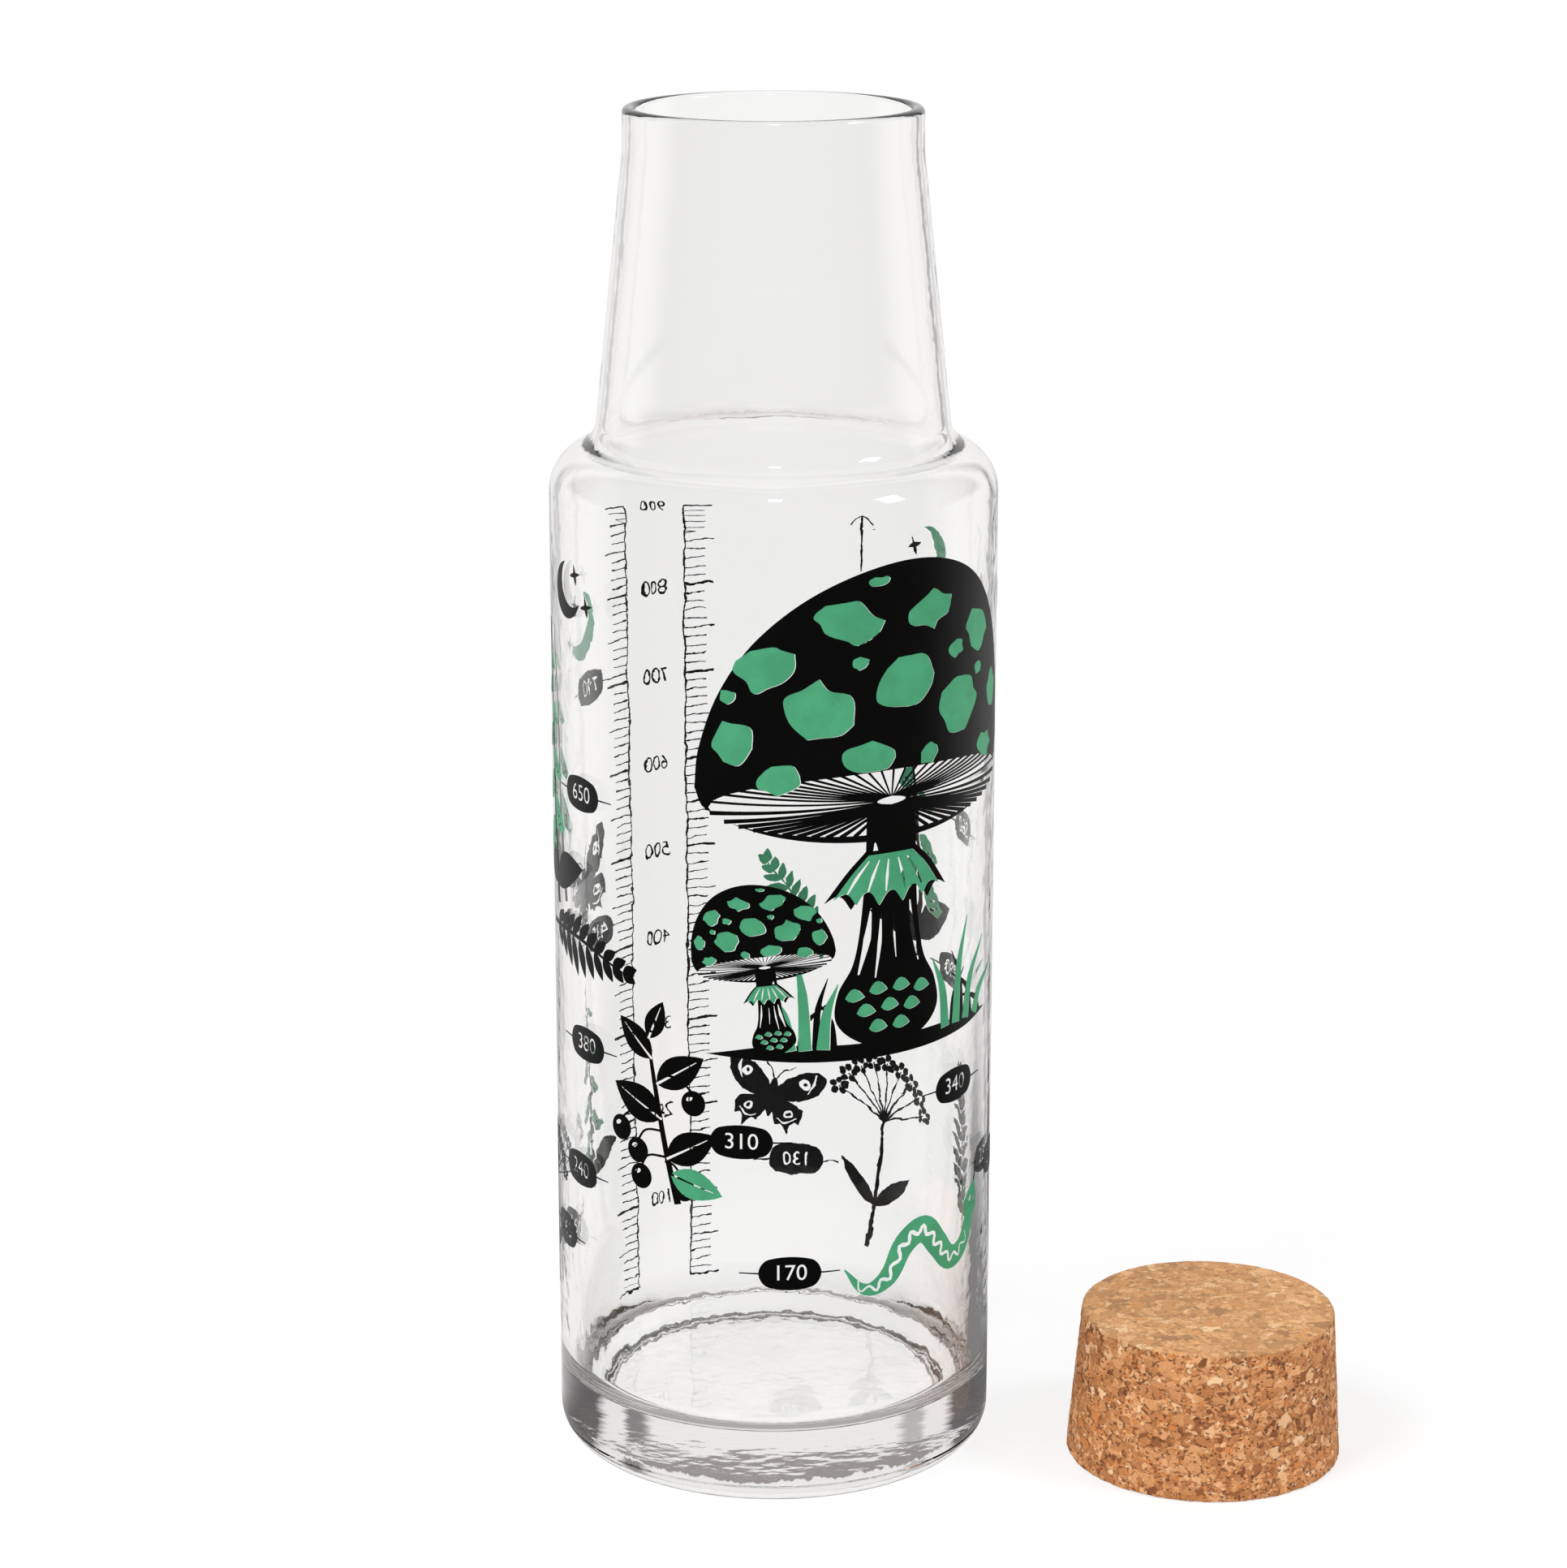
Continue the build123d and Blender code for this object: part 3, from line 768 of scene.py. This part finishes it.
def pressed_cork():
    """Grains of two sizes, each its own tan, with dark crumbs and gaps between some of them. The top, the
    last half millimetre of the height, is blended a third of the way to a pale tan, and its gaps and crumbs are
    fainter."""
    made, place = material("pressed_cork")
    crumple = place.node("TexNoise", {"Vector": place, "Scale": 900.0, "Detail": 2.0})[1]
    shift = place.node("VectorMath", {0: crumple, 1: (0.5, 0.5, 0.5)}, operation="SUBTRACT")[0]
    bent = place.node("VectorMath", {0: shift, 1: (0.0011, 0.0011, 0.0011), 2: place}, operation="MULTIPLY_ADD")[0]
    drawn = place.node("VectorMath", {0: bent, 1: (0.8, 0.8, 1.15)}, operation="MULTIPLY")[0]
    high = place.node("SeparateXYZ", {0: place})[2]
    top = place.node("MapRange", {0: high, 1: cork_height - 0.8 * MM, 2: cork_height - 0.4 * MM})[0]
    tans = [
        (0.0, (0.22, 0.072, 0.026)), (0.14, (0.45, 0.177, 0.061)), (0.38, (0.53, 0.228, 0.086)),
        (0.6, (0.63, 0.288, 0.115)), (0.8, (0.70, 0.344, 0.152)), (0.94, (0.77, 0.435, 0.22)),
        (1.0, (0.85, 0.56, 0.33)),
    ]
    orange, brown, pale = (0.60, 0.225, 0.068, 1), (0.105, 0.038, 0.018, 1), (0.67, 0.44, 0.225, 1)

    def grains(scale, mask_scale):
        """The tan of each grain, a share of one where the gap round it is open, and the distance to its edge."""
        cells = place.node("TexVoronoi", {"Vector": drawn, "Scale": scale})
        gaps = place.node("TexVoronoi", {"Vector": drawn, "Scale": scale}, feature="DISTANCE_TO_EDGE")[0]
        pick, hue, _ = place.node("SeparateColor", {0: cells[1]})
        shade = pick.node("ValToRGB", {0: pick}, stops=tans)[0]
        warm = (hue > 0.86).blend(shade, orange)
        patch = place.node("TexNoise", {"Vector": place, "Scale": mask_scale, "Detail": 1.0})[0]
        open_gap = place.node("MapRange", {0: gaps, 1: 0.02, 2: 0.09, 3: 1.0, 4: 0.0})[0]
        open_gap = open_gap * place.node("MapRange", {0: patch, 1: 0.46, 2: 0.56})[0]
        return warm, open_gap, gaps

    coarse, coarse_gap, coarse_edge = grains(430.0, 700.0)
    small, small_gap, small_edge = grains(1050.0, 900.0)
    mixed = place.node("TexNoise", {"Vector": place, "Scale": 380.0, "Detail": 1.5})[0]
    small_here = place.node("MapRange", {0: mixed, 1: 0.47, 2: 0.53})[0]
    shade = small_here.blend(coarse, small)
    gap = place.maths("MAXIMUM", coarse_gap * (1 - small_here), small_gap * small_here)
    crumbs = place.node("TexVoronoi", {"Vector": drawn, "Scale": 1500.0})
    crumb_lot = place.node("SeparateColor", {0: crumbs[1]})[0]
    crumb = (crumb_lot > 0.84) * place.node("MapRange", {0: crumbs[0], 1: 0.3, 2: 0.5, 3: 1.0, 4: 0.0})[0]
    grain = place.node("TexNoise", {"Vector": drawn, "Scale": 2600.0, "Detail": 3.0})[0]
    cloud = place.node("TexNoise", {"Vector": place, "Scale": 90.0, "Detail": 2.0})[0]
    dark = place.maths("MAXIMUM", gap, crumb) * (1 - top * 0.35)
    shade = (dark * 0.85).blend(shade, brown)
    shade = (top * 0.34).blend(shade, pale)
    light = place.node("MapRange", {0: grain * 0.6 + cloud * 0.4, 1: 0.3, 2: 0.7, 3: 0.8, 4: 1.2})[0]
    lit = place.node("VectorMath", {0: shade, "Scale": light}, operation="SCALE")[0]
    relief = place.maths("MINIMUM", coarse_edge * 2.2 + small_here, small_edge + (1 - small_here)) + grain * 0.12
    normal = place.node("Bump", {"Height": relief, "Strength": 0.6, "Distance": 0.00016})[0]
    body = place.node("BsdfPrincipled", {
        "Base Color": lit, "Roughness": grain * 0.2 + 0.72, "Normal": normal, "Specular IOR Level": 0.25,
    })[0]
    place.node("OutputMaterial", {"Surface": body})
    return made


stopper.data.materials.append(pressed_cork())
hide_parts("cork_stopper")
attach(stopper, "stopper")

# The floor is a plain pale table, a flat disc of rings that runs on as far as the camera sees. It is the stage and
# no piece of the object. Straight on through glass it shows white, and the lamps leave soft shadows near the object.
floor_angles = np.linspace(0, 2 * np.pi, 96, endpoint=False)
floor_rings = np.array([0.05, 0.15, 0.4, 1.0, 6.0])
floor_points = np.stack([
    np.outer(floor_rings, np.cos(floor_angles)).ravel(),
    np.outer(floor_rings, np.sin(floor_angles)).ravel(),
    np.zeros(floor_rings.size * floor_angles.size),
], axis=1)
grid_index = np.arange(len(floor_points)).reshape(len(floor_rings), -1)
next_index = np.roll(grid_index, -1, axis=1)
floor_quads = np.stack([grid_index[:-1], grid_index[1:], next_index[1:], next_index[:-1]], axis=-1).reshape(-1, 4)
floor = surface("floor", floor_points, [floor_quads, grid_index[:1]])


def met_by(place):
    """Three shares: of rays that reach a surface from the eye straight on or through glass, of those of them that
    came through glass, and of rays that a mirror or the inside of the glass has turned on the way."""
    path = {output.socket.name: output for output in place.node("LightPath")}
    undiffused = path["Diffuse Depth"] < 0.5
    through_glass = path["Is Transmission Ray"] * (path["Glossy Depth"] < 0.5) * undiffused
    to_eye = place.maths("MAXIMUM", path["Is Camera Ray"], through_glass)
    turned_back = (path["Glossy Depth"] > 0.5) * undiffused
    return to_eye, through_glass, turned_back


def studio(place, high=0.0, near=0.0):
    """What glass mirrors of the room on a bearing from the bottle: a pale backdrop behind it, with a narrow dark
    gap at each end of its middle sheet, and an unlit room in front. The backdrop narrows high above the table, and
    a dark screen stands near the bottle on its right."""
    flat = place.node("VectorMath", {0: place, 1: (1, 1, 0)}, operation="MULTIPLY")[0]
    bearing = place.node("VectorMath", {0: flat}, operation="NORMALIZE")[0]
    side, behind, _ = place.node("SeparateXYZ", {0: bearing})
    backdrop = place.node("MapRange", {0: behind, 1: -0.1, 2: 0.35}, interpolation_type="SMOOTHSTEP")[0]
    sheet_end = 0.86
    off_edge = place.maths("ABSOLUTE", behind - sheet_end)
    gap = place.node("MapRange", {0: off_edge, 1: 0.015, 2: 0.045, 3: 1.0, 4: 0.0}, interpolation_type="SMOOTHSTEP")[0]
    beyond = place.node("MapRange", {0: behind, 1: 0.68, 2: 0.74, 3: 1.0, 4: 0.0})[0]
    above = place.node("MapRange", {0: high, 1: 0.05, 2: 0.14, 3: 0.0, 4: 0.88})[0]
    screen = place.node("MapRange", {0: side, 1: 0.6, 2: 0.72, 3: 0.0, 4: 0.8})[0] * near
    pale = backdrop * (1 - gap * (side * 0.3 + 0.6)) * (1 - beyond * above) * (1 - screen)
    unlit, backdrop_white = (0.045, 0.042, 0.042, 1), (0.88, 0.87, 0.865, 1)
    return pale.blend(unlit, backdrop_white)


white_through_glass = (0.985, 0.985, 0.98, 1)


def studio_floor():
    """White paper with the lamps' shadows near the object. A ray that the glass has turned back meets a painted
    picture of what the glass mirrors instead: the room, below the bottle the paper in painted shade and a darker
    ring where it stands, a painted contact shadow, and behind it a painted soft shadow, whose edge is a weighted
    distance from the bottle made ragged by noise."""
    made, place = material("studio_floor")
    to_eye, through_glass, turned_back = met_by(place)
    far = place.node("VectorMath", {0: place}, operation="LENGTH")[1]
    near = place.node("MapRange", {0: far, 1: 0.12, 2: 0.42, 3: 1.0, 4: 0.0}, interpolation_type="SMOOTHSTEP")[0]
    # Painted shade for mirrored rays: the paper under the bottle is darker, with a painted contact shadow in a ring
    # where it stands.
    below = place.node("MapRange", {0: far, 1: 46 * MM, 2: 52 * MM, 3: 1.0, 4: 0.0})[0]
    contact_shadow_share = place.node("MapRange", {0: far, 1: 30 * MM, 2: 34 * MM})[0]
    paper_in_painted_shade, painted_contact_shadow, painted_shadow_brown = (0.75, 0.74, 0.73, 1), (0.42, 0.40, 0.385, 1), (0.16, 0.135, 0.12, 1)
    under = contact_shadow_share.blend(paper_in_painted_shade, painted_contact_shadow)
    # A painted cast shadow, streaky and brown, lies on the table behind the bottle for mirrored rays only.
    aside, behind, _ = place.node("SeparateXYZ", {0: place})
    streaks = place.node("TexNoise", {"Vector": place, "Scale": 90.0, "Detail": 4.0})[0]
    shadow_aside = 4 * MM
    off_painted_shadow = place.maths("ABSOLUTE", aside - shadow_aside) * 20 + far * 22 + streaks * 1.7
    painted_cast_shadow = place.node("MapRange", {0: off_painted_shadow, 1: 2.15, 2: 2.5, 3: 0.75, 4: 0.0})[0] * (behind > 0.0)
    mirrored = below.blend(painted_cast_shadow.blend(studio(place, near=near), painted_shadow_brown), under)
    paper = place.node("BsdfDiffuse", {"Color": (0.96, 0.96, 0.96, 1)})[0]
    white = place.node("Emission", {"Color": through_glass.blend((1, 1, 1, 1), white_through_glass)})[0]
    # This emission shows the mirrored room with the painted shade and painted shadows on it.
    table = place.node("Emission", {"Color": mirrored})[0]
    seen = place.node("MixShader", {0: to_eye * (1 - near * 0.34), 1: paper, 2: white})[0]
    mixed = place.node("MixShader", {0: turned_back, 1: seen, 2: table})[0]
    place.node("OutputMaterial", {"Surface": mixed})
    return made


floor.data.materials.append(studio_floor())

# The room round the table is white to the eye and an even pale grey to matt things. Glass that turns a ray back
# mirrors the studio in it.
world = bpy.data.worlds.new("studio")
bpy.context.scene.world = world
world.use_nodes = True
world.node_tree.nodes.clear()
sky = Socket(world.node_tree.nodes.new("ShaderNodeTexCoord").outputs["Generated"])
to_eye, through_glass, turned_back = met_by(sky)
ambient = turned_back.blend((0.6, 0.6, 0.6, 1), studio(sky, high=sky.node("SeparateXYZ", {0: sky})[2]))
shown = to_eye.blend(ambient, through_glass.blend((1, 1, 1, 1), white_through_glass))
sky.node("OutputWorld", {"Surface": sky.node("Background", {"Color": shown})[0]})

# Three square lamps hang in front. The key is broad and isn't mirrored, and the two small ones are what shines
# on the shoulder and the rim.
aim_at = mathutils.Vector((0.03, 0, 0.1))
for name, place, size, power, mirrored in (
    ("key", (-0.7, -0.6, 1.1), 0.6, 9.6, False),
    ("fill", (0.95, -0.3, 1.0), 0.24, 4.4, True),
    ("top", (0.01, -0.52, 1.1), 0.1, 1.4, True),
):
    lamp = bpy.data.lights.new(name, "AREA")
    lamp.shape, lamp.size, lamp.energy = "SQUARE", size, power
    holder = bpy.data.objects.new(name, lamp)
    bpy.context.scene.collection.objects.link(holder)
    holder.location = place
    holder.rotation_euler = (aim_at - holder.location).to_track_quat("-Z", "Y").to_euler()
    holder.visible_camera = holder.visible_transmission = False
    holder.visible_glossy = mirrored

# The camera stands 0.9 m away and looks 15 degrees down, as the bottle's level rings and outline give it. Glass
# needs more bounces than Blender's own few.
camera_data = bpy.data.cameras.new("camera")
camera_data.lens, camera_data.sensor_width, camera_data.sensor_height = 97.97, 36.0, 36.0
looks_down, looks_right = 15.029, 0.289
camera = bpy.data.objects.new("camera", camera_data)
camera.location = (-2.205 * MM, -822.55 * MM, 358.05 * MM)
camera.rotation_euler = (np.radians(90 - looks_down), 0, np.radians(-looks_right))
bpy.context.scene.collection.objects.link(camera)
bpy.context.scene.camera = camera
bpy.context.scene.view_settings.view_transform = "Standard"
bpy.context.scene.cycles.max_bounces = 24
bpy.context.scene.cycles.transmission_bounces = 24
bpy.context.scene.cycles.glossy_bounces = 16
